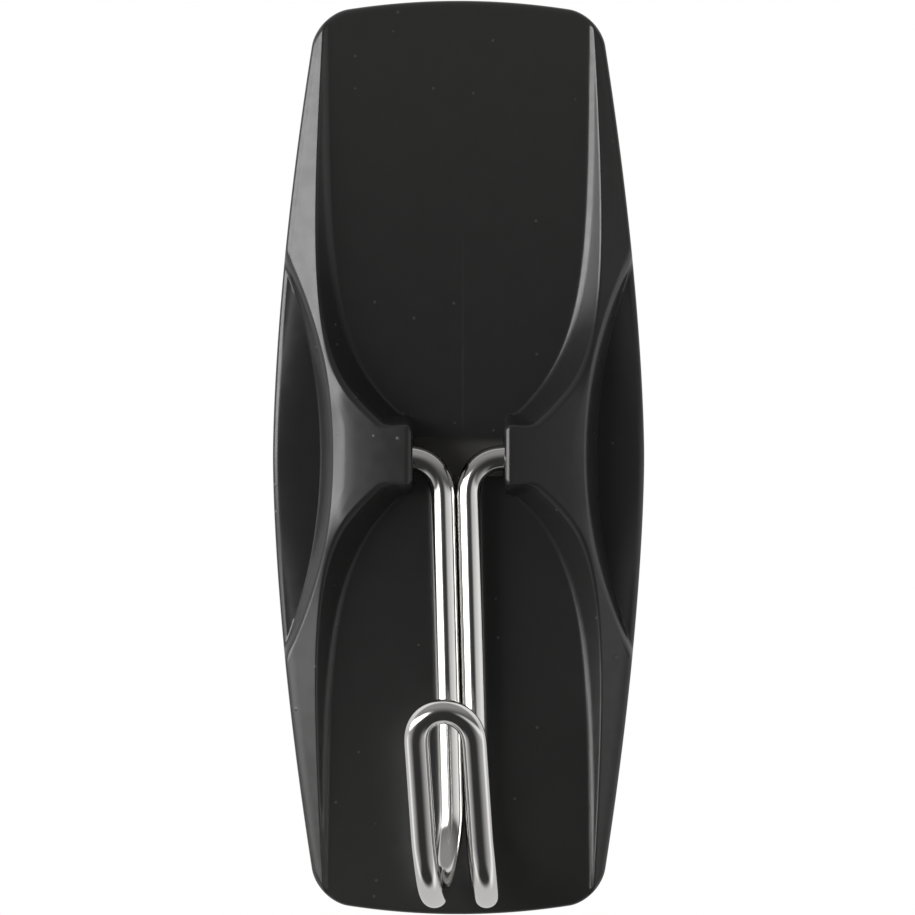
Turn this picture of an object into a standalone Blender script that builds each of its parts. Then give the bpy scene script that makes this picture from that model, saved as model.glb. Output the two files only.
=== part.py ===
"""Adhesive wall hook: a moulded base plate on a foam mounting strip, with a bent-wire hook
that swings in the two bosses of the base.

Frame: +Z up the wall, +Y into the wall, -Y towards the viewer, +X to the right, and the origin
at the middle of the face that sticks to the wall. A height is a distance out from the wall,
so a height H lies at Y = -H. Dimensions are in millimetres until they are placed.
"""
import math

import bmesh
import bpy
from mathutils import Matrix, Vector

MM = 0.001

# Outline of the base, symmetric both ways
BASE_HALF_W = 8.5
BASE_HALF_H = 20.9
SIDE_DROP = 0.0145          # how fast the sides draw in, in mm per mm to the power below
SIDE_POWER = 1.64
END_RADIUS = 33.0           # crown of the top and bottom edges
CORNER_R = 1.4

# Heights out from the wall
STRIP_ADHESIVE_T = 0.2
STRIP_CORE_T = 0.6
LAYER_GAP = 0.1
BASE_BACK = 1.3
PANEL_H = 2.5
SCALLOP_H = 2.2
FACET_EDGE_H = 2.6
BOSS_TOP_H = 5.1
PIVOT_H = 3.6

# Ridges: an inner slope rises from the panel to a crest, an outer facet falls to the outline
BOSS_Z = 0.1                # middle of the ridges' pinch
BOSS_INNER_X = 2.1
FOOT_FAR_X = 6.3
FOOT_REACH = 6.1
FOOT_DECAY = 3.36
INNER_SLOPE = math.tan(math.radians(60.0))
FACET_SLOPE = math.tan(math.radians(40.0))
FLANK_SLOPE = math.tan(math.radians(68.0))
FLANK_HALF = 1.7
CROWN_START_X = 3.0
CROWN_RADIUS = 4.8
SLOPE_BLEND = 0.6           # blends are the height over which one surface rounds into another
OUTER_BLEND = 0.3
CREST_BLEND = 0.3
BOSS_BLEND = 0.9            # added to the crest's at the boss, and fading along the ridges
BLEND_FADE = 3.5
CREST_MIN_X = 5.0           # inside this the crest has run out into the crown of the boss
RIDGE_ROOT_H = 1.9          # how deep the ridges reach into the plate

# Side scallops, cut by a slightly tapered round tool
SCALLOP_R = 24.3
SCALLOP_APEX_X = 6.3
SCALLOP_DRAFT = math.tan(math.radians(11.0))

# Window through the plate between the bosses, and the sockets for the wire's ends
WINDOW_HALF_W = 2.04
WINDOW_TOP_Z = 0.94
WINDOW_BOTTOM_Z = -0.85
SOCKET_R = 0.68
SOCKET_END_X = 4.4

# Mounting strip
STRIP_HALF_W = 6.0
STRIP_HALF_H = 18.0
STRIP_CORNER_R = 2.0

# Wire hook
WIRE_R = 0.575
PIN_END_X = 4.1
ELBOW_R = 1.5
SHANK_GAP_HALF = 0.615      # half the distance between the two shanks' centre lines
SHANK_TOP_X = -0.14         # middle of the pair just under the elbows
SHANK_LEAN = 0.0225         # sideways drift of the pair, mm per mm down
SHANK_BACK = 0.022          # lean of the shanks towards the panel, mm per mm down
BEND_Z = -17.0              # where the shanks run into the bottom bend
BEND_R = 3.0
LEG_GAP_HALF = 1.31
BEND_SKEW = -0.48           # sideways drift of the pair around the bottom bend
LEG_LEAN = 0.068            # sideways drift of the legs, mm per mm up
LEG_FLARE = math.radians(20.0)  # lean of the legs away from the wall
LOOP_Z = -12.95
SPREAD_DELAY = 1.5
SPREAD_POWER = 3.2


def place(x, z, height):
    """Point in metres at x, z and a height out from the wall, all in millimetres."""
    return Vector((x * MM, -height * MM, z * MM))


def collection(name):
    """New collection linked to the scene."""
    group = bpy.data.collections.new(name)
    bpy.context.scene.collection.children.link(group)
    return group


def material(name, color, roughness, metallic=0.0):
    """Principled material with one colour, roughness and metallic value."""
    mat = bpy.data.materials.new(name)
    mat.use_nodes = True
    shader = mat.node_tree.nodes["Principled BSDF"]
    shader.inputs["Base Color"].default_value = (*color, 1.0)
    shader.inputs["Roughness"].default_value = roughness
    shader.inputs["Metallic"].default_value = metallic
    return mat


def link(obj, group, mat=None):
    """Put an object in a collection and give it its material."""
    group.objects.link(obj)
    if mat:
        obj.data.materials.append(mat)
    return obj


def as_cutter(obj):
    """Mark an object as a tool that isn't part of the model."""
    obj.hide_render = True
    obj.display_type = "WIRE"
    return obj


def mesh_object(name, bm, group, mat=None):
    """Object from a bmesh, its faces turned outwards."""
    bmesh.ops.recalc_face_normals(bm, faces=bm.faces)
    mesh = bpy.data.meshes.new(name)
    bm.to_mesh(mesh)
    bm.free()
    return link(bpy.data.objects.new(name, mesh), group, mat)


def add_boolean(obj, operation, tool):
    """Exact Boolean of obj with a tool."""
    step = obj.modifiers.new(tool.name, "BOOLEAN")
    step.operation = operation
    step.object = tool


def flat_curve(name, outline, thickness, group, mat=None):
    """Flat plate from a closed outline of (x, z) points, standing in the XZ plane."""
    curve = bpy.data.curves.new(name, "CURVE")
    curve.dimensions = "2D"
    curve.fill_mode = "BOTH"
    curve.extrude = thickness * MM / 2
    spline = curve.splines.new("POLY")
    spline.points.add(len(outline) - 1)
    for point, (x, z) in zip(spline.points, outline):
        point.co = (x * MM, z * MM, 0.0, 1.0)
    spline.use_cyclic_u = True
    obj = bpy.data.objects.new(name, curve)
    obj.rotation_euler = (math.pi / 2, 0.0, 0.0)
    return link(obj, group, mat)


def curve_to_mesh(obj, group):
    """Replace a curve object by a welded mesh object of the same name, place and material."""
    bpy.context.view_layer.update()
    evaluated = obj.evaluated_get(bpy.context.evaluated_depsgraph_get())
    mesh = bpy.data.meshes.new_from_object(evaluated)
    bm = bmesh.new()
    bm.from_mesh(mesh)
    bmesh.ops.remove_doubles(bm, verts=bm.verts, dist=1e-7)
    bm.to_mesh(mesh)
    bm.free()
    name = obj.name
    matrix = obj.matrix_world.copy()
    bpy.data.objects.remove(obj)
    solid = bpy.data.objects.new(name, mesh)
    solid.matrix_world = matrix
    group.objects.link(solid)
    return solid


def smooth_min(a, b, blend):
    """Lower of two heights, rounded where they are closer than the blend."""
    near = max(blend - abs(a - b), 0.0) / blend
    return min(a, b) - near * near * blend / 4


def side_half_width(z):
    """Half width of the base at a height up the wall."""
    return BASE_HALF_W - SIDE_DROP * abs(z) ** SIDE_POWER


def end_half_height(x):
    """Half height of the base at a distance from its middle line."""
    return BASE_HALF_H - END_RADIUS + math.sqrt(END_RADIUS ** 2 - x * x)


def inset_point(from_side, from_end):
    """Point of the upper right quarter at given distances in from the side and the end."""
    x = BASE_HALF_W
    z = BASE_HALF_H
    for _ in range(30):
        x = side_half_width(z) - from_side
        z = end_half_height(x) - from_end
    return x, z


def base_outline(side_steps=22, corner_steps=8, end_steps=8):
    """Closed outline: barrel sides, crowned ends and round corners."""
    corner = []
    for i in range(corner_steps + 1):
        angle = math.pi / 2 * i / corner_steps
        corner.append(inset_point(CORNER_R * (1 - math.cos(angle)), CORNER_R * (1 - math.sin(angle))))
    side_end = corner[0][1]
    end_start = corner[-1][0]
    quarter = []
    for i in range(side_steps):
        z = side_end * i / side_steps
        quarter.append((side_half_width(z), z))
    quarter += corner
    for i in range(1, end_steps + 1):
        x = end_start * (1 - i / end_steps)
        quarter.append((x, end_half_height(x)))
    upper = quarter + [(-x, z) for x, z in reversed(quarter[:-1])]
    lower = [(x, -z) for x, z in reversed(upper[1:-1])]
    return upper + lower


def round_rectangle(half_w, half_h, radius, steps=6):
    """Closed outline of a rectangle with round corners."""
    points = []
    for quarter, (sx, sz) in enumerate(((1, 1), (-1, 1), (-1, -1), (1, -1))):
        for i in range(steps + 1):
            angle = math.pi / 2 * (quarter + i / steps)
            points.append((sx * (half_w - radius) + radius * math.cos(angle),
                           sz * (half_h - radius) + radius * math.sin(angle)))
    return points


def foot_x(z):
    """Where the inner slope of a ridge leaves the panel."""
    return FOOT_FAR_X - FOOT_REACH * math.exp(-abs(z - BOSS_Z) / FOOT_DECAY)


def inner_height(x, z):
    """Height of the inner slope, which is steeper on the flanks of the boss."""
    steepness = (FOOT_FAR_X - foot_x(z)) / FOOT_DECAY
    slope = PANEL_H + INNER_SLOPE * (x - foot_x(z)) / math.hypot(1.0, steepness)
    flank = PANEL_H + FLANK_SLOPE * (FLANK_HALF - abs(z - BOSS_Z))
    return -smooth_min(-slope, -flank, SLOPE_BLEND)


def outer_height(x, z):
    """Height of the outer facet, and of the crown that it meets on the boss."""
    facet = FACET_EDGE_H + FACET_SLOPE * (side_half_width(z) - x)
    crown = BOSS_TOP_H - max(0.0, x - CROWN_START_X) ** 2 / (2 * CROWN_RADIUS)
    return smooth_min(facet, crown, OUTER_BLEND)


def ridge_height(x, z):
    """Height of a ridge, rounded over its crest."""
    blend = CREST_BLEND + BOSS_BLEND * math.exp(-abs(z - BOSS_Z) / BLEND_FADE)
    return smooth_min(inner_height(x, z), outer_height(x, z), blend)


def crest_x(z, start, end):
    """Where the inner slope reaches the outer surface, by halving the interval."""
    low = start
    high = end
    for _ in range(40):
        middle = (low + high) / 2
        if inner_height(middle, z) < outer_height(middle, z):
            low = middle
        else:
            high = middle
    return high


def ridge_section(z, inner_steps=9, outer_steps=8):
    """Section of the right ridge at one level, from its root round the crest and back."""
    start = max(BOSS_INNER_X, foot_x(z) - 0.3)
    end = side_half_width(z) + 0.6
    crest = -smooth_min(-crest_x(z, start, end), -CREST_MIN_X, 1.0)
    inner = [start + (crest - start) * i / inner_steps for i in range(inner_steps)]
    outer = [crest + (end - crest) * i / outer_steps for i in range(outer_steps + 1)]
    top = [place(x, z, max(ridge_height(x, z), RIDGE_ROOT_H + 0.05)) for x in inner + outer]
    return [place(start, z, RIDGE_ROOT_H)] + top + [place(end, z, RIDGE_ROOT_H)]


def ridge_levels(reach=21.6, fine_steps=12, coarse_steps=14, fine_reach=3.0):
    """Levels for the ridge sections, closer together at the boss."""
    fine = [fine_reach * i / fine_steps for i in range(fine_steps)]
    coarse = [fine_reach + (reach - fine_reach) * (i / coarse_steps) ** 1.3
              for i in range(coarse_steps + 1)]
    above = fine + coarse
    return [BOSS_Z - z for z in reversed(above[1:])] + [BOSS_Z + z for z in above]


def ridge(name, side, group):
    """One ridge, lofted through its sections; side is 1 on the right and -1 on the left."""
    bm = bmesh.new()
    rings = []
    for z in ridge_levels():
        ring = [bm.verts.new((side * point.x, point.y, point.z)) for point in ridge_section(z)]
        rings.append(ring)
    count = len(rings[0])
    for lower, upper in zip(rings, rings[1:]):
        for i in range(count):
            following = (i + 1) % count
            bm.faces.new((lower[i], lower[following], upper[following], upper[i]))
    bm.faces.new(rings[0])
    bm.faces.new(rings[-1])
    bmesh.ops.triangulate(bm, faces=bm.faces, quad_method="SHORT_EDGE")
    return as_cutter(mesh_object(name, bm, group))


def box_tool(name, x_range, z_range, height_range, group):
    """Block between two x, two z and two height values."""
    low = place(x_range[0], z_range[0], height_range[1])
    high = place(x_range[1], z_range[1], height_range[0])
    size = high - low
    bm = bmesh.new()
    bmesh.ops.create_cube(bm, size=1.0)
    bmesh.ops.scale(bm, vec=size, verts=bm.verts)
    tool = mesh_object(name, bm, group)
    tool.location = (low + high) / 2
    return as_cutter(tool)


def scallop_tool(name, side, group, segments=160, tool_top=7.0):
    """Tapered round tool that cuts one side scallop, standing out from the wall."""
    depth = tool_top - SCALLOP_H
    bm = bmesh.new()
    bmesh.ops.create_cone(bm, cap_ends=True, segments=segments, radius1=SCALLOP_R * MM,
                          radius2=(SCALLOP_R + depth * SCALLOP_DRAFT) * MM, depth=depth * MM)
    bmesh.ops.rotate(bm, cent=(0, 0, 0), matrix=Matrix.Rotation(math.pi / 2, 3, "X"),
                     verts=bm.verts)
    tool = mesh_object(name, bm, group)
    tool.location = place(side * (SCALLOP_APEX_X + SCALLOP_R), BOSS_Z, (SCALLOP_H + tool_top) / 2)
    return as_cutter(tool)


def socket_tool(name, side, group, segments=24, start_x=1.9):
    """Round tool along X for the socket of one wire end."""
    bm = bmesh.new()
    bmesh.ops.create_cone(bm, cap_ends=True, segments=segments, radius1=SOCKET_R * MM,
                          radius2=SOCKET_R * MM, depth=(SOCKET_END_X - start_x) * MM)
    bmesh.ops.rotate(bm, cent=(0, 0, 0), matrix=Matrix.Rotation(math.pi / 2, 3, "Y"),
                     verts=bm.verts)
    tool = mesh_object(name, bm, group)
    tool.location = place(side * (start_x + SOCKET_END_X) / 2, 0.0, PIVOT_H)
    return as_cutter(tool)


def outline_tool(name, group, tool_top=8.0):
    """Tall block of the base's outline, which trims the plate and the ridges."""
    block = flat_curve(name, base_outline(), tool_top - BASE_BACK, group)
    block.location = place(0.0, 0.0, (BASE_BACK + tool_top) / 2)
    return as_cutter(curve_to_mesh(block, group))


def base_moulding(parts, tools):
    """Base plate with its two ridges, side scallops, window and wire sockets."""
    black_plastic = material("black_plastic", (0.022, 0.022, 0.023), 0.32)
    bm = bmesh.new()
    bmesh.ops.create_cube(bm, size=1.0)
    root = BASE_BACK - 0.5
    size = Vector((2 * BASE_HALF_W + 3, PANEL_H - root, 2 * BASE_HALF_H + 3)) * MM
    bmesh.ops.scale(bm, vec=size, verts=bm.verts)
    base = mesh_object("base_moulding", bm, parts, black_plastic)
    base.location = place(0.0, 0.0, (PANEL_H + root) / 2)
    for name, side in (("ridge_right", 1), ("ridge_left", -1)):
        add_boolean(base, "UNION", ridge(name, side, tools))
    add_boolean(base, "INTERSECT", outline_tool("outline", tools))
    for name, side in (("scallop_right", 1), ("scallop_left", -1)):
        add_boolean(base, "DIFFERENCE", scallop_tool(name, side, tools))
    window = box_tool("window", (-WINDOW_HALF_W, WINDOW_HALF_W), (WINDOW_BOTTOM_Z, WINDOW_TOP_Z),
                      (BASE_BACK - 0.3, PANEL_H + 0.3), tools)
    add_boolean(base, "DIFFERENCE", window)
    for name, side in (("socket_right", 1), ("socket_left", -1)):
        add_boolean(base, "DIFFERENCE", socket_tool(name, side, tools))
    return base


def mounting_strip(parts):
    """Foam mounting strip between its two adhesive layers, from the wall outwards."""
    outline = round_rectangle(STRIP_HALF_W, STRIP_HALF_H, STRIP_CORNER_R)
    adhesive = material("clear_adhesive", (0.25, 0.24, 0.21), 0.25)
    foam = material("grey_foam", (0.075, 0.074, 0.068), 0.85)
    core_h = STRIP_ADHESIVE_T + LAYER_GAP
    base_side_h = core_h + STRIP_CORE_T + LAYER_GAP
    layers = (("strip_wall_adhesive", 0.0, STRIP_ADHESIVE_T, adhesive),
              ("strip_foam_core", core_h, STRIP_CORE_T, foam),
              ("strip_base_adhesive", base_side_h, STRIP_ADHESIVE_T, adhesive))
    for name, height, thickness, mat in layers:
        layer = flat_curve(name, outline, thickness, parts, mat)
        layer.location = place(0.0, 0.0, height + thickness / 2)


def pair_spread(turn):
    """Half distance between the two wires at a share of the bottom bend, from 0 to 1.

    It grows softly at first, then fast, and is nearly full by the time the wire turns up.
    """
    share = 1 - (1 - turn ** SPREAD_DELAY) ** SPREAD_POWER
    return SHANK_GAP_HALF + (LEG_GAP_HALF - SHANK_GAP_HALF) * share


def wire_half(side):
    """Centre line of half the wire, from its pin to the front loop, as (x, z, height)."""
    shank_x = SHANK_TOP_X + side * SHANK_GAP_HALF
    elbow_x = shank_x + side * ELBOW_R
    points = [(side * PIN_END_X, 0.0, PIVOT_H)]
    for i in range(7):
        angle = math.pi / 2 * i / 6
        points.append((elbow_x - side * ELBOW_R * math.sin(angle),
                       -ELBOW_R * (1 - math.cos(angle)), PIVOT_H))
    steps = 8
    for i in range(1, steps):
        z = -ELBOW_R + (BEND_Z + ELBOW_R) * i / steps
        drop = -z - ELBOW_R
        points.append((shank_x + SHANK_LEAN * drop, z, PIVOT_H - SHANK_BACK * drop))
    drop = -BEND_Z - ELBOW_R
    bend_x = SHANK_TOP_X + SHANK_LEAN * drop
    bend_h = PIVOT_H - SHANK_BACK * drop
    bend_angle = math.pi - LEG_FLARE
    for i in range(15):
        turn = i / 14
        angle = bend_angle * turn
        points.append((bend_x + BEND_SKEW * turn ** 2 + side * pair_spread(turn),
                       BEND_Z - BEND_R * math.sin(angle),
                       bend_h + BEND_R * (1 - math.cos(angle))))
    leg_x, leg_z, leg_h = points[-1]
    steps = 4
    for i in range(1, steps + 1):
        rise = (LOOP_Z - leg_z) * i / steps
        points.append((leg_x - LEG_LEAN * rise, leg_z + rise, leg_h + rise * math.tan(LEG_FLARE)))
    return points


def wire_loop(side_point):
    """Round top of the front loop, after the left leg's last point and up to the right leg."""
    x, z, height = side_point
    points = []
    for i in range(1, 12):
        angle = math.pi * i / 12
        across = LEG_GAP_HALF * (1 - math.cos(angle))
        rise = LEG_GAP_HALF * math.sin(angle)
        points.append((x + across - LEG_LEAN * rise, z + rise, height + rise * math.tan(LEG_FLARE)))
    return points


def wire_hook(parts):
    """One bent wire: pins in the sockets, two shanks, the bottom bend and the front loop."""
    chrome = material("chrome_wire", (0.76, 0.76, 0.77), 0.08, 1.0)
    left = wire_half(-1)
    right = wire_half(1)
    route = left + wire_loop(left[-1]) + list(reversed(right))
    pivot = place(0.0, 0.0, PIVOT_H)
    curve = bpy.data.curves.new("wire_hook", "CURVE")
    curve.dimensions = "3D"
    curve.bevel_depth = WIRE_R * MM
    curve.bevel_resolution = 3
    curve.use_fill_caps = True
    spline = curve.splines.new("POLY")
    spline.points.add(len(route) - 1)
    for point, (x, z, height) in zip(spline.points, route):
        point.co = (*(place(x, z, height) - pivot), 1.0)
    hook = link(bpy.data.objects.new("wire_hook", curve), parts, chrome)
    hook.location = pivot
    spline.use_smooth = True
    return hook


def main():
    """Build every part of the hook."""
    for obj in list(bpy.data.objects):
        bpy.data.objects.remove(obj, do_unlink=True)
    parts = collection("adhesive_wire_wall_hook")
    tools = collection("tools")
    base_moulding(parts, tools)
    mounting_strip(parts)
    wire_hook(parts)


main()
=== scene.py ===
"""Adhesive wire wall hook: fine meshes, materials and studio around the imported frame.

The frame's axes are the CAD's: +Z up the wall, +Y into the wall, +X to the right. A height is a
distance out from the wall, so a height H lies at Y = -H. Shapes are worked out in millimetres,
with the wire's pivot at Z = 0.
"""
import math
from collections import namedtuple

import bpy
import numpy as np
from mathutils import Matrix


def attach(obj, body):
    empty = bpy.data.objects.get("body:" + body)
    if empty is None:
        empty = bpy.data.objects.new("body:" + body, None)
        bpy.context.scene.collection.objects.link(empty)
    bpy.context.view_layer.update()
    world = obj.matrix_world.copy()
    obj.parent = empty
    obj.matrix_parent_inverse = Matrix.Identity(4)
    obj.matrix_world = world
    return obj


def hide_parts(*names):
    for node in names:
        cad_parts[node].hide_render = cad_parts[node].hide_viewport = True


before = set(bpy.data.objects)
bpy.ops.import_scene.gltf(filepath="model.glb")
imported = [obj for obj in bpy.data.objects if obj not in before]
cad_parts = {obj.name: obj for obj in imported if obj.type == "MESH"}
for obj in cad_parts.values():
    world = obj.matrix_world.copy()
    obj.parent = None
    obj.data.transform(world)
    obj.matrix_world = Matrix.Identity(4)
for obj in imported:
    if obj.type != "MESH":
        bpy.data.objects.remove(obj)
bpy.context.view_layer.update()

MM = 0.001
SHARP_ANGLE = math.radians(40)

# Outline of the base: bowed sides, crowned ends and rounded corners
BASE_HALF_W = 8.5
BASE_HALF_H = 20.9
SIDE_DROP = 0.0145
SIDE_POWER = 1.64
END_RADIUS = 33.0
CORNER_R = 1.4
EDGE_R = 0.22
BACK_EDGE_R = 0.12

# Heights out from the wall
BASE_BACK = 1.3
PANEL_H = 2.5
SCALLOP_H = 2.2
FACET_EDGE_H = 2.35
BOSS_TOP_H = 4.95
PIVOT_H = 3.6

# Bosses: two blocks whose crowns slope gently down to the sides
BOSS_Z = 0.1
BOSS_SOFT_Z = 0.5
BOSS_INNER_X = 2.1
BOSS_EDGE_R = 0.32
BOSS_END_DRAFT = 0.002
FLANK_SLOPE = math.tan(math.radians(82.0))
FLANK_HALF = 1.8
FLANK_FADE = 0.5
CROWN_SLOPE = 0.12
CROWN_RADIUS = 33.0

# Ridges: the foot of the inner slope nears the middle at the boss, where the slope is steeper
FOOT_FAR_X = 6.1
FOOT_REACH = 6.5
FOOT_DECAY = 3.0
INNER_SLOPE = math.tan(math.radians(46.0))
BOSS_STEEPER = 5.0
STEEPER_FADE = 1.8
FACET_SLOPE = math.tan(math.radians(32.0))
FACET_RISE = 0.6
FACET_RISE_REACH = 4.0

# How softly the slopes of ridges and bosses run into each other
SLOPE_BLEND = 1.2
OUTER_BLEND = 0.3
CREST_BLEND = 0.1
BOSS_BLEND = 2.0
BLEND_FADE = 2.0
FOOT_BLEND = 0.18

# Side scallops
SCALLOP_R = 24.3
SCALLOP_APEX_X = 6.3
SCALLOP_WALL = 1 / math.tan(math.radians(11.0))
SCALLOP_FOOT_BLEND = 0.2
SCALLOP_TOP_BLEND = 1.4

# Grid of the front: dense bands of columns follow the crests and the scallops' walls
STRAIGHT_X = 2.8
STRAIGHT_Z = 9.2
BOSS_ROWS_Z = 2.6
CREST_IN = 0.2
CREST_OUT = 0.15
CREST_LEAST_X = 3.9
WALL_IN = 0.6
WALL_OUT = 0.12
BAND_BLEND = 0.3
EDGE_BAND_GAP = 0.1
EDGE_BAND_BLEND = 0.2
WALL_START_SHARE = (0.05, 0.45)
WALL_END_SHARE = (0.1, 0.8)
CREST_U = SCALLOP_APEX_X - WALL_IN - CREST_OUT
FACET_U = 0.12
GAP_STEP = 0.25
BOSS_END_STEP = 0.1
COLUMN_STEPS = (0.085, 0.035, 0.035, 0.036, 0.1)
ROW_STEPS = (0.08, 0.11, 0.16)
BOSS_EDGE_ANGLES = range(15, 91, 15)
EDGE_ANGLES = (15, 30, 45, 58, 70, 80, 90)
BACK_EDGE_ANGLES = (0, 30, 60, 90)
PLACE_PASSES = 12
CORNER_PASSES = 25

# Window and sockets, and the tools that cut them
WINDOW_HALF_W = 2.04
WINDOW_TOP_Z = 0.94
WINDOW_BOTTOM_Z = -0.85
SOCKET_R = 0.68
SOCKET_START_X = 1.9
SOCKET_END_X = 4.4
TOOL_MARGIN = 0.5
TOOL_SIDES = 64

# Wire hook: pins, elbows, shanks, bottom bend, legs and front loop
WIRE_R = 0.575
WIRE_CHAMFER = 0.12
PIN_END_X = 4.1
ELBOW_R = 1.5
SHANK_GAP_HALF = 0.592
SHANK_TOP_X = -0.128
SHANK_LEAN = 0.026
SHANK_BACK = 0.022
BEND_Z = -16.3
BEND_DROP = 3.7
BEND_R = 3.0
BEND_SKEW = -0.545
SPREAD_DELAY = 1.5
SPREAD_POWER = 3.2
LEG_GAP_HALF = 1.31
LEG_LEAN = 0.068
LEG_FLARE = math.radians(20.0)
LOOP_Z = -12.84

# Steps along and around the wire
PIN_STEPS = 8
ELBOW_STEPS = 24
SHANK_STEPS = 60
BEND_STEPS = 64
LEG_STEPS = 24
LOOP_STEPS = 40
RING_GAP = 0.11
RING_SIDES = 56
SMOOTH_PASSES = 12

# Mounting strip
STRIP_HALF_W = 6.0
STRIP_HALF_H = 18.0
STRIP_CORNER_R = 2.0
STRIP_CORNER_STEPS = 10
STRIP_EDGE = 0.08
STRIP_EDGE_NICK = 0.3
WALL_FILM_TOP = 0.25
FOAM_TOP = 0.95
BASE_FILM_TOP = 1.29
FOAM_INSET = 0.05

# Painted light lightening the plastic from the bosses towards its ends, a knit line and dust of the plastic;
# the knit line's ends are soft between two places in Z
PAINTED_LIGHT_START_Z = 3.0
PAINTED_LIGHT_FULL_Z = 22.0
KNIT_X = 0.2
KNIT_CORE = 0.02
KNIT_EDGE = 0.07
KNIT_BOTTOM = (1.0, 2.0)
KNIT_TOP = (6.0, 11.5)
KNIT_STRENGTH = 0.14
DUST_STRENGTH = 0.6

# Colours
PLASTIC_BLACK = (0.020, 0.020, 0.020, 1.0)
# Lighter plastic colour: painted light towards the base's ends, and random tone
PLASTIC_TONE_AND_PAINTED_LIGHT = (0.031, 0.031, 0.030, 1.0)
KNIT_GREY = (0.075, 0.075, 0.073, 1.0)
DUST_GREY = (0.16, 0.158, 0.15, 1.0)
CHROME_DULL = (0.72, 0.71, 0.69, 1.0)
CHROME_BRIGHT = (0.78, 0.77, 0.755, 1.0)
FOAM_DARK = (0.055, 0.054, 0.050, 1.0)
FOAM_LIGHT = (0.095, 0.094, 0.088, 1.0)
ADHESIVE_DARK = (0.105, 0.103, 0.092, 1.0)
ADHESIVE_LIGHT = (0.15, 0.147, 0.132, 1.0)
FLOOR_DARK = (0.80, 0.80, 0.79, 1.0)
FLOOR_LIGHT = (0.84, 0.84, 0.83, 1.0)
WHITE = (1.0, 1.0, 1.0, 1.0)

# Light panels: edges in degrees of azimuth (0 is towards the camera, negative to the left) and
# elevation, each as the start and end of a soft ramp, and a strength
Panel = namedtuple("Panel", "left right bottom top strength")
KEY = Panel(left=(-92, -80), right=(-34, -24), bottom=(-9, 4), top=(8, 18), strength=8.5)
KEY_GLOW = Panel(left=(-60, -40), right=(-34, -14), bottom=(-12, 4), top=(8, 20), strength=1.0)
LOW_KEY = Panel(left=(-115, -100), right=(-90, -35), bottom=(-60, -40), top=(-14, -6), strength=0.5)
FILL = Panel(left=(8, 30), right=(78, 95), bottom=(-16, -6), top=(-1, 9), strength=0.55)
LOW_FILL = Panel(left=(15, 90), right=(100, 120), bottom=(-60, -40), top=(-2, 8), strength=0.5)
PANELS = (KEY, KEY_GLOW, LOW_KEY, FILL, LOW_FILL)

# Even light of the studio: dim low down, brighter overhead and behind the object
ROOM_LEVEL = 0.035
CEILING_LEVEL = 0.31
CEILING_RAMP = (-10, 50)
BACK_LEVEL = 0.6
BACK_SOFTNESS = 0.12

# Floor and camera
FLOOR_HALF = 2500.0
FLOOR_Z = -120.0
CAMERA_DISTANCE = 1.5
CAMERA_SENSOR = 36.0
VIEW_WIDTH = 0.04186
VIEW_SHIFT_X = -0.00005


# ---------------------------------------------------------------- small helpers

def smooth_min(a, b, blend):
    """Lower of two heights, rounded where they are closer than the blend."""
    near = np.maximum(blend - np.abs(a - b), 0.0) / blend
    return np.minimum(a, b) - near * near * blend / 4


def smooth_max(a, b, blend):
    """Higher of two heights, rounded the same way."""
    return -smooth_min(-a, -b, blend)


def round_over(distance, radius):
    """How far a rounded edge has dropped at a distance in from it."""
    inside = np.clip(radius - distance, 0.0, radius)
    return radius - np.sqrt(radius * radius - inside * inside)


def mesh_object(name, points, faces):
    """Smooth-shaded object from points in millimetres and faces."""
    mesh = bpy.data.meshes.new(name)
    mesh.from_pydata((np.asarray(points) * MM).tolist(), [], faces)
    mesh.update()
    obj = bpy.data.objects.new(name, mesh)
    bpy.context.scene.collection.objects.link(obj)
    mesh.shade_smooth()
    return obj


def apply_modifiers(obj):
    """Replace an object's mesh by its evaluated mesh."""
    bpy.context.view_layer.update()
    evaluated = obj.evaluated_get(bpy.context.evaluated_depsgraph_get())
    mesh = bpy.data.meshes.new_from_object(evaluated)
    obj.modifiers.clear()
    obj.data = mesh


def cut(obj, tool):
    """Cut a closed tool out of a closed object, and remove the tool."""
    step = obj.modifiers.new("cut", "BOOLEAN")
    step.operation = "DIFFERENCE"
    step.solver = "MANIFOLD"
    step.object = tool
    apply_modifiers(obj)
    bpy.data.objects.remove(tool)


# ---------------------------------------------------------------- shape of the base's front

def side_half_width(z):
    """Half width of the base at a place up the wall."""
    return BASE_HALF_W - SIDE_DROP * np.abs(z) ** SIDE_POWER


def end_half_height(x):
    """Half height of the base at a distance from its middle line."""
    return BASE_HALF_H - END_RADIUS + np.sqrt(END_RADIUS ** 2 - x * x)


def from_boss(z):
    """Distance up or down from the bosses' middle, rounded where it is smallest."""
    return np.hypot(z - BOSS_Z, BOSS_SOFT_Z)


def foot_x(z):
    """Where the inner slope of a ridge leaves the panel."""
    return FOOT_FAR_X - FOOT_REACH * np.exp(-from_boss(z) / FOOT_DECAY)


def inner_rise(z):
    """Rise along X of a ridge's inner side: steeper at the boss, less where its foot runs askew."""
    rise = INNER_SLOPE + BOSS_STEEPER * np.exp(-from_boss(z) / STEEPER_FADE)
    askew = (FOOT_FAR_X - foot_x(z)) / FOOT_DECAY
    return rise / np.hypot(1.0, askew)


def facet_edge_height(z):
    """Height of a ridge's outer facet at the side of the base, raised beside the boss."""
    return FACET_EDGE_H + FACET_RISE * np.exp(-((z - BOSS_Z) / FACET_RISE_REACH) ** 2)


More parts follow.
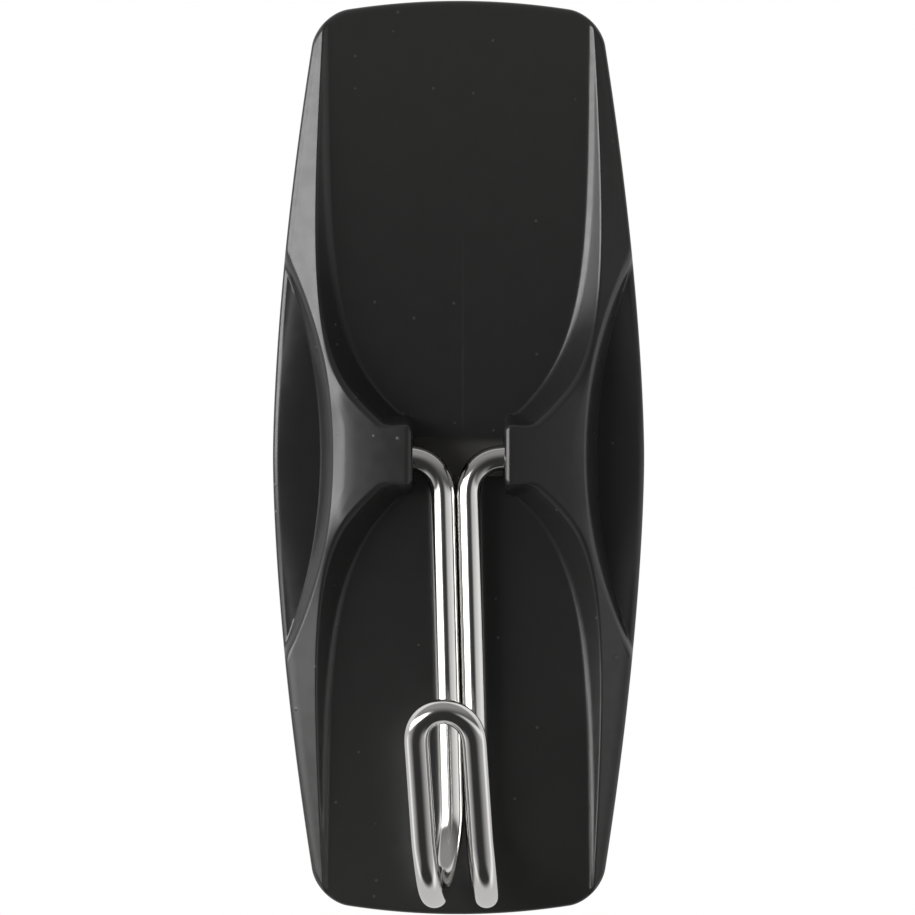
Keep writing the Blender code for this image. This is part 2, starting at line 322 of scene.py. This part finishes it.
def ridge_height(x, z):
    """Height of a ridge: inner slope and boss flank inside, facet and crown outside."""
    slope = PANEL_H + inner_rise(z) * (x - foot_x(z))
    half = FLANK_HALF - round_over(x - BOSS_INNER_X, BOSS_EDGE_R)
    flank = PANEL_H + FLANK_SLOPE * (half - np.abs(z - BOSS_Z))
    flank = flank - FLANK_FADE * np.maximum(0.0, x - BOSS_INNER_X - BOSS_EDGE_R)
    inner = smooth_max(slope, flank, SLOPE_BLEND)
    facet = facet_edge_height(z) + FACET_SLOPE * (side_half_width(z) - x)
    along = np.maximum(0.0, x - BOSS_INNER_X)
    crown = BOSS_TOP_H - CROWN_SLOPE * along - along ** 2 / (2 * CROWN_RADIUS)
    outer = smooth_min(facet, crown, OUTER_BLEND)
    blend = CREST_BLEND + BOSS_BLEND * np.exp(-from_boss(z) / BLEND_FADE)
    return smooth_min(inner, outer, blend)


def front_height(x, z):
    """Height of the moulding's front, before its outer edge is rounded."""
    x = np.abs(x)
    ridge = ridge_height(x, z) - round_over(x - BOSS_INNER_X, BOSS_EDGE_R)
    ridge = np.where(x > BOSS_INNER_X + BOSS_END_DRAFT / 2, ridge, 0.0)
    height = smooth_max(ridge, PANEL_H, FOOT_BLEND)
    around = np.hypot(SCALLOP_APEX_X + SCALLOP_R - x, z - BOSS_Z)
    wall = SCALLOP_H + SCALLOP_WALL * (around - SCALLOP_R)
    scallop = smooth_max(wall, SCALLOP_H, SCALLOP_FOOT_BLEND)
    return smooth_min(height, scallop, SCALLOP_TOP_BLEND)


# ---------------------------------------------------------------- grid of the base's front

def spread_lines(start, stretches):
    """Grid lines after a start, in stretches given by their end and their step."""
    lines = [start]
    for end, step in stretches:
        low = lines[-1]
        count = max(1, round((end - low) / step))
        lines += [low + (end - low) * (i + 1) / count for i in range(count)]
    return lines[1:]


def edge_lines(edge):
    """Grid lines around the rounded outer edge."""
    return [edge - EDGE_R + EDGE_R * math.sin(math.radians(angle)) for angle in EDGE_ANGLES]


def both_sides(half):
    """Grid lines on both sides of zero, from those at zero and above."""
    return np.array([-line for line in reversed(half[1:])] + half)


def column_knots():
    """Grid coordinates between which the columns are stretched."""
    crest_end = CREST_U + CREST_OUT
    return (0.0, STRAIGHT_X, CREST_U - CREST_IN, crest_end, crest_end + FACET_U,
            SCALLOP_APEX_X + WALL_OUT, BASE_HALF_W - EDGE_R, BASE_HALF_W)


def grid_lines():
    """Columns and rows of the front's grid, in grid coordinates."""
    gap_stretches = [(BOSS_INNER_X - BOSS_END_STEP, GAP_STEP), (BOSS_INNER_X, BOSS_END_STEP)]
    columns = [0.0] + spread_lines(0.0, gap_stretches)
    columns.append(BOSS_INNER_X + BOSS_END_DRAFT)
    columns += [BOSS_INNER_X + BOSS_EDGE_R * (1 - math.cos(math.radians(angle)))
                for angle in BOSS_EDGE_ANGLES]
    columns += spread_lines(columns[-1], zip(column_knots()[2:7], COLUMN_STEPS))
    columns += edge_lines(BASE_HALF_W)
    row_ends = (BOSS_ROWS_Z, STRAIGHT_Z, BASE_HALF_H - EDGE_R)
    rows = [0.0] + spread_lines(0.0, zip(row_ends, ROW_STEPS))
    rows += edge_lines(BASE_HALF_H)
    return both_sides(columns), both_sides(rows)


def crest_band_x(z, side, wall):
    """Middle of the band along a ridge's crest, kept clear of the boss, scallop and outer edge."""
    facet = facet_edge_height(z) - PANEL_H + FACET_SLOPE * side
    crest = (facet + inner_rise(z) * foot_x(z)) / (inner_rise(z) + FACET_SLOPE)
    crest = smooth_max(crest, CREST_LEAST_X, BAND_BLEND)
    crest = smooth_min(crest, wall - WALL_IN - CREST_OUT, BAND_BLEND)
    return smooth_min(crest, side - EDGE_R - CREST_OUT - EDGE_BAND_GAP, EDGE_BAND_BLEND)


def column_place(grid_x, z):
    """Real x of a column at a place up the wall; its bands follow the crest and the wall."""
    side = side_half_width(z)
    across = np.clip(z - BOSS_Z, -SCALLOP_R, SCALLOP_R)
    wall = SCALLOP_APEX_X + SCALLOP_R - np.sqrt(SCALLOP_R ** 2 - across ** 2)
    crest = crest_band_x(z, side, wall)
    rest = side - EDGE_R - crest - CREST_OUT
    wall_start = np.clip((wall - WALL_IN - crest - CREST_OUT) / rest, *WALL_START_SHARE)
    wall_end = np.clip((wall + WALL_OUT - crest - CREST_OUT) / rest, *WALL_END_SHARE)
    places = (0.0, STRAIGHT_X, crest - CREST_IN, crest + CREST_OUT,
              crest + CREST_OUT + wall_start * rest, crest + CREST_OUT + wall_end * rest,
              side - EDGE_R, side)
    knots = column_knots()
    x = np.zeros_like(grid_x)
    for i in range(len(knots) - 1):
        share = np.clip((np.abs(grid_x) - knots[i]) / (knots[i + 1] - knots[i]), 0.0, 1.0)
        x = x + share * (places[i + 1] - places[i])
    return np.sign(grid_x) * x


def row_place(grid_z, x):
    """Real z of a row: unchanged near the middle, drawn in to the crowned ends."""
    v = np.abs(grid_z)
    end = end_half_height(x)
    share = np.clip((v - STRAIGHT_Z) / (BASE_HALF_H - EDGE_R - STRAIGHT_Z), 0.0, 1.0)
    edge = np.clip(v - (BASE_HALF_H - EDGE_R), 0.0, EDGE_R)
    return np.sign(grid_z) * (np.minimum(v, STRAIGHT_Z) + share * (end - EDGE_R - STRAIGHT_Z) + edge)


def outline_grid(columns, rows):
    """Places of the grid's points, and their distance in from the outline."""
    grid_x, grid_z = np.meshgrid(columns, rows)
    x = grid_x.copy()
    z = grid_z.copy()
    for _ in range(PLACE_PASSES):
        x = column_place(grid_x, z)
        z = row_place(grid_z, x)
    from_side = side_half_width(z) - np.abs(x)
    from_end = end_half_height(x) - np.abs(z)
    # A corner's square of grid is squeezed to a quarter disc, whose edge is the rounded corner
    a = np.maximum(CORNER_R - from_side, 0.0)
    b = np.maximum(CORNER_R - from_end, 0.0)
    squeeze = 2 * CORNER_R ** 2
    round_a = a * np.sqrt(np.maximum(1 - b * b / squeeze, 0.0))
    round_b = b * np.sqrt(np.maximum(1 - a * a / squeeze, 0.0))
    in_corner = (a > 0) & (b > 0)
    for _ in range(CORNER_PASSES):
        corner_x = np.sign(grid_x) * (side_half_width(z) - (CORNER_R - round_a))
        x = np.where(in_corner, corner_x, x)
        corner_z = np.sign(grid_z) * (end_half_height(x) - (CORNER_R - round_b))
        z = np.where(in_corner, corner_z, z)
    distance = np.where(in_corner, CORNER_R - np.hypot(round_a, round_b),
                        np.minimum(from_side, from_end))
    return x, z, np.maximum(distance, 0.0)


# ---------------------------------------------------------------- base moulding

def boundary_loop(index):
    """Indices of the grid's outer points, counterclockwise seen from the front."""
    bottom = index[0, :-1]
    right = index[:-1, -1]
    top = index[-1, :0:-1]
    left = index[:0:-1, 0]
    return np.concatenate([bottom, right, top, left])


def outward_directions(rim):
    """Unit directions in x and z out of the base, at the points of its rim."""
    flat = rim[:, [0, 2]]
    along = np.roll(flat, -1, axis=0) - np.roll(flat, 1, axis=0)
    outward = np.stack([along[:, 1], -along[:, 0]], axis=-1)
    return outward / np.linalg.norm(outward, axis=1, keepdims=True)


def side_rings(rim):
    """Rings of points behind the rim: one halfway down the side, then the back's rounded edge."""
    outward = outward_directions(rim)
    rim_height = -rim[:, 1]
    wall_end = BASE_BACK + BACK_EDGE_R
    profile = [((rim_height + wall_end) / 2, 0.0)]
    for angle in BACK_EDGE_ANGLES:
        turn = math.radians(angle)
        height = np.full(len(rim), wall_end - BACK_EDGE_R * math.sin(turn))
        profile.append((height, BACK_EDGE_R * (1 - math.cos(turn))))
    return [np.stack([rim[:, 0] - outward[:, 0] * inset, -height,
                      rim[:, 2] - outward[:, 1] * inset], axis=-1) for height, inset in profile]


def make_base():
    """Moulded base: front from its height formula, rounded edge, side wall and flat back."""
    x, z, distance = outline_grid(*grid_lines())
    height = front_height(x, z) - round_over(distance, EDGE_R)
    points = np.stack([x, -height, z], axis=-1).reshape(-1, 3)
    index = np.arange(x.size).reshape(x.shape)
    faces = np.stack([index[:-1, :-1], index[:-1, 1:], index[1:, 1:], index[1:, :-1]], axis=-1)
    faces = faces.reshape(-1, 4).tolist()
    upper = boundary_loop(index)
    rings = side_rings(points[upper])
    for number, ring in enumerate(rings):
        lower = len(points) + number * len(ring) + np.arange(len(ring))
        faces += np.stack([np.roll(upper, -1), upper, lower, np.roll(lower, -1)], axis=-1).tolist()
        upper = lower
    faces.append(upper[::-1].tolist())
    return mesh_object("hook_base", np.concatenate([points] + rings), faces)


def socket_tool(name, start, end):
    """Closed cylinder around the wire's pivot, as a cutting tool."""
    angles = [2 * math.pi * i / TOOL_SIDES for i in range(TOOL_SIDES)]
    points = [(x, -PIVOT_H + SOCKET_R * math.cos(angle), SOCKET_R * math.sin(angle))
              for x in (start, end) for angle in angles]
    near = list(range(TOOL_SIDES))
    far = [i + TOOL_SIDES for i in near]
    faces = [[near[i - 1], near[i], far[i], far[i - 1]] for i in near]
    return mesh_object(name, points, faces + [near[::-1], far])


def window_tool():
    """Closed block through the panel between the bosses, as a cutting tool."""
    depths = (-PANEL_H - TOOL_MARGIN, -BASE_BACK + TOOL_MARGIN)
    points = [(x, y, z) for x in (-WINDOW_HALF_W, WINDOW_HALF_W) for y in depths
              for z in (WINDOW_BOTTOM_Z, WINDOW_TOP_Z)]
    faces = [[0, 1, 3, 2], [4, 6, 7, 5], [0, 4, 5, 1], [2, 3, 7, 6], [0, 2, 6, 4], [1, 5, 7, 3]]
    return mesh_object("window_tool", points, faces)


# ---------------------------------------------------------------- wire hook

def pair_spread(turn):
    """Half distance between the two wires at a share of the bottom bend."""
    share = 1 - (1 - turn ** SPREAD_DELAY) ** SPREAD_POWER
    return SHANK_GAP_HALF + (LEG_GAP_HALF - SHANK_GAP_HALF) * share


def wire_half(side):
    """Centre line of half the wire, from its pin to the front loop, as x, z, height."""
    shank_x = SHANK_TOP_X + side * SHANK_GAP_HALF
    elbow_x = shank_x + side * ELBOW_R
    pin_length = abs(elbow_x) - PIN_END_X
    points = [(side * (PIN_END_X + pin_length * i / PIN_STEPS), 0.0, PIVOT_H) for i in range(PIN_STEPS)]
    for i in range(ELBOW_STEPS + 1):
        angle = math.pi / 2 * i / ELBOW_STEPS
        points.append((elbow_x - side * ELBOW_R * math.sin(angle),
                       -ELBOW_R * (1 - math.cos(angle)), PIVOT_H))
    shank_drop = -BEND_Z - ELBOW_R
    for i in range(1, SHANK_STEPS):
        drop = shank_drop * i / SHANK_STEPS
        points.append((shank_x + SHANK_LEAN * drop, -ELBOW_R - drop, PIVOT_H - SHANK_BACK * drop))
    bend_x = SHANK_TOP_X + SHANK_LEAN * shank_drop
    bend_h = PIVOT_H - SHANK_BACK * shank_drop
    for i in range(BEND_STEPS + 1):
        turn = i / BEND_STEPS
        angle = (math.pi - LEG_FLARE) * turn
        points.append((bend_x + BEND_SKEW * turn ** 2 + side * pair_spread(turn),
                       BEND_Z - BEND_DROP * math.sin(angle),
                       bend_h + BEND_R * (1 - math.cos(angle))))
    leg_x, leg_z, leg_h = points[-1]
    for i in range(1, LEG_STEPS + 1):
        rise = (LOOP_Z - leg_z) * i / LEG_STEPS
        points.append((leg_x - LEG_LEAN * rise, leg_z + rise, leg_h + rise * math.tan(LEG_FLARE)))
    return points


def wire_route():
    """Whole centre line of the wire, from the left pin to the right pin."""
    left = wire_half(-1)
    right = wire_half(1)
    x, z, height = left[-1]
    loop = []
    for i in range(1, LOOP_STEPS):
        angle = math.pi * i / LOOP_STEPS
        across = LEG_GAP_HALF * (1 - math.cos(angle))
        rise = LEG_GAP_HALF * math.sin(angle)
        loop.append((x + across - LEG_LEAN * rise, z + rise, height + rise * math.tan(LEG_FLARE)))
    route = np.array(left + loop + right[::-1])
    return np.stack([route[:, 0], -route[:, 2], route[:, 1]], axis=-1)


def even_route(route):
    """The same line with evenly spaced points, lightly smoothed between its stretches."""
    lengths = np.concatenate([[0], np.cumsum(np.linalg.norm(np.diff(route, axis=0), axis=1))])
    places = np.linspace(0, lengths[-1], int(lengths[-1] / RING_GAP))
    even = np.stack([np.interp(places, lengths, route[:, k]) for k in range(3)], axis=-1)
    for _ in range(SMOOTH_PASSES):
        even[1:-1] = (even[:-2] + 2 * even[1:-1] + even[2:]) / 4
    return even


def make_wire():
    """Plated wire as one tube with chamfered ends."""
    route = even_route(wire_route())
    tangents = np.gradient(route, axis=0)
    tangents /= np.linalg.norm(tangents, axis=1, keepdims=True)
    normal = np.array([0.0, 1.0, 0.0])
    angles = np.linspace(0, 2 * math.pi, RING_SIDES, endpoint=False)
    last = len(route) - 1
    rings = []
    for i, (point, tangent) in enumerate(zip(route, tangents)):
        normal = normal - tangent * normal.dot(tangent)
        normal /= np.linalg.norm(normal)
        side = np.cross(tangent, normal)
        radius = WIRE_R - (WIRE_CHAMFER if i in (0, last) else 0.0)
        rings.append(point + radius * (np.outer(np.cos(angles), normal) + np.outer(np.sin(angles), side)))
    index = np.arange(len(route) * RING_SIDES).reshape(-1, RING_SIDES)
    ahead = np.roll(index, -1, axis=1)
    faces = np.stack([index[:-1], ahead[:-1], ahead[1:], index[1:]], axis=-1).reshape(-1, 4).tolist()
    faces.append(index[0, ::-1].tolist())
    faces.append(index[-1].tolist())
    return mesh_object("hook_wire", np.concatenate(rings), faces)


# ---------------------------------------------------------------- mounting strip

def make_layer(name, low, high, inset=0.0):
    """One layer of the mounting strip between two heights, with slightly soft edges."""
    corner_x = STRIP_HALF_W - inset - STRIP_CORNER_R
    corner_z = STRIP_HALF_H - inset - STRIP_CORNER_R
    outline = []
    for quarter, (sx, sz) in enumerate(((1, 1), (-1, 1), (-1, -1), (1, -1))):
        for i in range(STRIP_CORNER_STEPS + 1):
            angle = math.pi / 2 * (quarter + i / STRIP_CORNER_STEPS)
            outline.append((sx * corner_x, sz * corner_z, math.cos(angle), math.sin(angle)))
    soft = STRIP_EDGE
    nick = STRIP_EDGE * STRIP_EDGE_NICK
    profile = [(high, soft), (high - nick, nick), (high - soft, 0.0),
               (low + soft, 0.0), (low + nick, nick), (low, soft)]
    points = [(x + (STRIP_CORNER_R - draw) * cx, -height, z + (STRIP_CORNER_R - draw) * cz)
              for height, draw in profile for x, z, cx, cz in outline]
    index = np.arange(len(points)).reshape(len(profile), -1)
    ahead = np.roll(index, -1, axis=1)
    faces = np.stack([ahead[:-1], index[:-1], index[1:], ahead[1:]], axis=-1).reshape(-1, 4).tolist()
    faces.append(index[0].tolist())
    faces.append(index[-1, ::-1].tolist())
    layer = mesh_object(name, points, faces)
    layer.data.set_sharp_from_angle(angle=SHARP_ANGLE)
    return layer


# ---------------------------------------------------------------- materials

class Nodes:
    """Short way to add nodes to a material or world tree and link them."""

    def __init__(self, tree):
        self.tree = tree

    def add(self, kind, **settings):
        """New node with some of its properties set."""
        node = self.tree.nodes.new(kind)
        for name, value in settings.items():
            setattr(node, name, value)
        return node

    def link(self, source, target):
        """Link an output socket to an input socket."""
        self.tree.links.new(source, target)

    def value(self, operation, a, b=0.0, c=0.0):
        """Math node on sockets or numbers."""
        node = self.add("ShaderNodeMath", operation=operation)
        for i, item in enumerate((a, b, c)):
            if isinstance(item, (int, float)):
                node.inputs[i].default_value = item
            else:
                self.link(item, node.inputs[i])
        return node.outputs[0]

    def product(self, first, *others):
        """Product of several sockets."""
        for other in others:
            first = self.value("MULTIPLY", first, other)
        return first

    def split(self, vector):
        """X, Y and Z of a vector socket."""
        node = self.add("ShaderNodeSeparateXYZ")
        self.link(vector, node.inputs[0])
        return node.outputs

    def ramp(self, source, low, high, out_low=0.0, out_high=1.0):
        """Map a socket smoothly from one range to another, clamped."""
        node = self.add("ShaderNodeMapRange", interpolation_type="SMOOTHSTEP")
        self.link(source, node.inputs["Value"])
        node.inputs["From Min"].default_value = low
        node.inputs["From Max"].default_value = high
        node.inputs["To Min"].default_value = out_low
        node.inputs["To Max"].default_value = out_high
        return node.outputs["Result"]

    def mix(self, factor, a, b):
        """Colour between two colours or colour sockets."""
        node = self.add("ShaderNodeMix", data_type="RGBA")
        self.link(factor, node.inputs["Factor"])
        for name, item in (("A", a), ("B", b)):
            socket = next(i for i in node.inputs if i.name == name and i.type == "RGBA")
            if isinstance(item, tuple):
                socket.default_value = item
            else:
                self.link(item, socket)
        return next(o for o in node.outputs if o.type == "RGBA")

    def noise(self, coords, scale, detail=2.0):
        """Noise texture on object coordinates."""
        node = self.add("ShaderNodeTexNoise")
        self.link(coords, node.inputs["Vector"])
        node.inputs["Scale"].default_value = scale
        node.inputs["Detail"].default_value = detail
        node.inputs["Roughness"].default_value = 0.5
        return node.outputs["Fac"]

    def bump(self, height, strength, distance, normal=None):
        """Normals bumped by a height socket, on top of other normals where these are given."""
        node = self.add("ShaderNodeBump")
        self.link(height, node.inputs["Height"])
        node.inputs["Strength"].default_value = strength
        node.inputs["Distance"].default_value = distance
        if normal is not None:
            self.link(normal, node.inputs["Normal"])
        return node.outputs["Normal"]


def new_material(name):
    """Material with its Principled shader, node helpers and object coordinates."""
    mat = bpy.data.materials.new(name)
    mat.use_nodes = True
    shader = mat.node_tree.nodes["Principled BSDF"]
    nodes = Nodes(mat.node_tree)
    coords = nodes.add("ShaderNodeTexCoord").outputs["Object"]
    return mat, shader, nodes, coords


def knit_line(nodes, coords):
    """Mask of the faint line above the window, where two flows of plastic met."""
    x, _, z = nodes.split(coords)
    beside = nodes.value("ABSOLUTE", nodes.value("SUBTRACT", x, KNIT_X * MM))
    line = nodes.ramp(beside, KNIT_CORE * MM, KNIT_EDGE * MM, 1.0, 0.0)
    bottom = nodes.ramp(z, KNIT_BOTTOM[0] * MM, KNIT_BOTTOM[1] * MM)
    top = nodes.ramp(z, KNIT_TOP[0] * MM, KNIT_TOP[1] * MM, 1.0, 0.0)
    broken = nodes.ramp(nodes.noise(coords, scale=900.0, detail=3.0), 0.35, 0.6, 0.5, 1.0)
    return nodes.product(line, bottom, top, broken)


def dust_specks(nodes, coords):
    """Mask of a few dust specks of unlike brightness."""
    cells = nodes.add("ShaderNodeTexVoronoi", feature="F1")
    nodes.link(coords, cells.inputs["Vector"])
    cells.inputs["Scale"].default_value = 1100.0
    dots = nodes.ramp(cells.outputs["Distance"], 0.04, 0.12, 1.0, 0.0)
    chance = nodes.add("ShaderNodeSeparateColor")
    nodes.link(cells.outputs["Color"], chance.inputs[0])
    few = nodes.value("GREATER_THAN", chance.outputs[0], 0.72)
    return nodes.product(dots, few, chance.outputs[1])


def plastic_material():
    """Glossy black moulded plastic: patchy flow variation, painted light towards the ends over painted shade
    near the bosses, a knit line and dust.
    """
    mat, shader, nodes, coords = new_material("black_plastic")
    from_middle = nodes.value("ABSOLUTE", nodes.split(coords)[2])
    # Painted light: the colour lightens from painted shade near the bosses out to the ends; random tone is
    # added on top
    lighter_share = nodes.ramp(from_middle, PAINTED_LIGHT_START_Z * MM, PAINTED_LIGHT_FULL_Z * MM, 0.0, 0.75)
    lighter_share = nodes.value("MULTIPLY_ADD", nodes.noise(coords, scale=60.0), 0.35, lighter_share)
    line = knit_line(nodes, coords)
    speck = dust_specks(nodes, coords)
    color = nodes.mix(lighter_share, PLASTIC_BLACK, PLASTIC_TONE_AND_PAINTED_LIGHT)
    color = nodes.mix(nodes.value("MULTIPLY", line, KNIT_STRENGTH), color, KNIT_GREY)
    color = nodes.mix(nodes.value("MULTIPLY", speck, DUST_STRENGTH), color, DUST_GREY)
    nodes.link(color, shader.inputs["Base Color"])
    rough = nodes.ramp(nodes.noise(coords, scale=1500.0), 0.3, 0.7, 0.21, 0.26)
    nodes.link(nodes.value("MULTIPLY_ADD", speck, 0.3, rough), shader.inputs["Roughness"])
    grain = nodes.bump(nodes.noise(coords, scale=2600.0, detail=3.0), strength=0.05, distance=0.00002)
    relief = nodes.value("MULTIPLY_ADD", line, 0.25, speck)
    raised = nodes.bump(relief, strength=0.5, distance=0.00003, normal=grain)
    nodes.link(raised, shader.inputs["Normal"])
    shader.inputs["IOR"].default_value = 1.5
    return mat


def chrome_material():
    """Bright plated wire with a faint patchy dullness and waviness."""
    mat, shader, nodes, coords = new_material("chrome_plate")
    lighter_share = nodes.noise(coords, scale=400.0, detail=3.0)
    nodes.link(nodes.mix(lighter_share, CHROME_DULL, CHROME_BRIGHT), shader.inputs["Base Color"])
    nodes.link(nodes.ramp(lighter_share, 0.3, 0.7, 0.10, 0.16), shader.inputs["Roughness"])
    wavy = nodes.bump(nodes.noise(coords, scale=1800.0), strength=0.04, distance=0.00002)
    nodes.link(wavy, shader.inputs["Normal"])
    shader.inputs["Metallic"].default_value = 1.0
    return mat


def foam_material():
    """Closed-cell grey foam."""
    mat, shader, nodes, coords = new_material("foam")
    cells = nodes.noise(coords, scale=3500.0)
    nodes.link(nodes.mix(cells, FOAM_DARK, FOAM_LIGHT), shader.inputs["Base Color"])
    nodes.link(nodes.bump(cells, strength=0.6, distance=0.0001), shader.inputs["Normal"])
    shader.inputs["Roughness"].default_value = 0.9
    return mat


def adhesive_material():
    """Tacky adhesive film over the foam."""
    mat, shader, nodes, coords = new_material("adhesive_film")
    smear = nodes.noise(coords, scale=250.0, detail=3.0)
    nodes.link(nodes.mix(smear, ADHESIVE_DARK, ADHESIVE_LIGHT), shader.inputs["Base Color"])
    nodes.link(nodes.ramp(smear, 0.3, 0.7, 0.22, 0.4), shader.inputs["Roughness"])
    lumps = nodes.bump(nodes.noise(coords, scale=700.0), strength=0.25, distance=0.00008)
    nodes.link(lumps, shader.inputs["Normal"])
    return mat


def floor_material():
    """Pale matt floor."""
    mat, shader, nodes, coords = new_material("pale_floor")
    cloud = nodes.noise(coords, scale=3.0)
    nodes.link(nodes.mix(cloud, FLOOR_DARK, FLOOR_LIGHT), shader.inputs["Base Color"])
    shader.inputs["Roughness"].default_value = 0.9
    return mat


# ---------------------------------------------------------------- studio

def panel_mask(nodes, azimuth, elevation, panel):
    """Mask of a soft-edged light panel."""
    return nodes.product(nodes.ramp(azimuth, *panel.left),
                         nodes.ramp(azimuth, *panel.right, 1.0, 0.0),
                         nodes.ramp(elevation, *panel.bottom),
                         nodes.ramp(elevation, *panel.top, 1.0, 0.0))


def white_background(nodes):
    """White background shader of strength 1."""
    node = nodes.add("ShaderNodeBackground")
    node.inputs["Color"].default_value = WHITE
    node.inputs["Strength"].default_value = 1.0
    return node


def studio_world():
    """Soft studio: a strong panel at the left, weak ones elsewhere, and plain white to the camera."""
    world = bpy.data.worlds.new("studio")
    bpy.context.scene.world = world
    world.use_nodes = True
    world.node_tree.nodes.clear()
    nodes = Nodes(world.node_tree)
    direction = nodes.add("ShaderNodeTexCoord").outputs["Generated"]
    dx, dy, dz = nodes.split(direction)
    degrees = 180 / math.pi
    towards = nodes.value("MULTIPLY", dy, -1.0)
    azimuth = nodes.value("MULTIPLY", nodes.value("ARCTAN2", dx, towards), degrees)
    elevation = nodes.value("MULTIPLY", nodes.value("ARCSINE", dz), degrees)
    total = nodes.ramp(elevation, *CEILING_RAMP, ROOM_LEVEL, CEILING_LEVEL)
    for panel in PANELS:
        mask = panel_mask(nodes, azimuth, elevation, panel)
        total = nodes.value("MULTIPLY_ADD", mask, panel.strength, total)
    behind = nodes.ramp(dy, -BACK_SOFTNESS, BACK_SOFTNESS)
    total = nodes.value("MULTIPLY_ADD", behind, BACK_LEVEL, total)
    light = white_background(nodes)
    nodes.link(total, light.inputs["Strength"])
    mix = nodes.add("ShaderNodeMixShader")
    nodes.link(nodes.add("ShaderNodeLightPath").outputs["Is Camera Ray"], mix.inputs[0])
    nodes.link(light.outputs[0], mix.inputs[1])
    nodes.link(white_background(nodes).outputs[0], mix.inputs[2])
    output = nodes.add("ShaderNodeOutputWorld")
    nodes.link(mix.outputs[0], output.inputs["Surface"])


def make_floor():
    """Plain pale floor well below the object, left out of its reflections."""
    corners = ((-FLOOR_HALF, -FLOOR_HALF), (FLOOR_HALF, -FLOOR_HALF),
               (FLOOR_HALF, FLOOR_HALF), (-FLOOR_HALF, FLOOR_HALF))
    floor = mesh_object("floor", [(x, y, FLOOR_Z) for x, y in corners], [[0, 1, 2, 3]])
    floor.data.materials.append(floor_material())
    floor.visible_glossy = False


def make_camera():
    """Long lens straight in front of the hook."""
    data = bpy.data.cameras.new("camera")
    camera = bpy.data.objects.new("camera", data)
    bpy.context.scene.collection.objects.link(camera)
    camera.location = (VIEW_SHIFT_X, -CAMERA_DISTANCE, 0.0)
    camera.rotation_euler = (math.pi / 2, 0.0, 0.0)
    data.sensor_width = CAMERA_SENSOR
    data.lens = CAMERA_SENSOR * (CAMERA_DISTANCE - PANEL_H * MM) / VIEW_WIDTH
    data.clip_start = 0.01
    data.clip_end = 20.0
    bpy.context.scene.camera = camera


# ---------------------------------------------------------------- assembly

def place_piece(obj, mat, body, slot, *nodes):
    """Give a piece its material and body, and hide the CAD nodes it stands for; the slot is not used."""
    obj.data.materials.clear()
    obj.data.materials.append(mat)
    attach(obj, body)
    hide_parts(*nodes)


def place_base():
    """Base moulding with its window and sockets cut."""
    base = make_base()
    cut(base, window_tool())
    cut(base, socket_tool("socket_right", SOCKET_START_X, SOCKET_END_X))
    cut(base, socket_tool("socket_left", -SOCKET_END_X, -SOCKET_START_X))
    base.data.shade_smooth()
    base.data.set_sharp_from_angle(angle=SHARP_ANGLE)
    place_piece(base, plastic_material(), "base", "base_plastic", "base_moulding")


def place_strip():
    """Mounting strip behind the base: film on the wall, foam core, film on the base."""
    film = adhesive_material()
    layers = (("strip_film_wall", 0.0, WALL_FILM_TOP, 0.0, film, "adhesive", "strip_wall_adhesive"),
              ("strip_foam", WALL_FILM_TOP, FOAM_TOP, FOAM_INSET, foam_material(), "foam", "strip_foam_core"),
              ("strip_film_base", FOAM_TOP, BASE_FILM_TOP, 0.0, film, "adhesive", "strip_base_adhesive"))
    for name, low, high, inset, mat, slot, node in layers:
        place_piece(make_layer(name, low, high, inset), mat, "base", slot, node)


def main():
    """Build the pieces, the studio and the camera."""
    place_base()
    place_piece(make_wire(), chrome_material(), "hook", "hook_wire", "wire_hook")
    place_strip()
    make_floor()
    studio_world()
    make_camera()
    settings = bpy.context.scene.view_settings
    settings.view_transform = "Standard"
    settings.look = "None"


main()
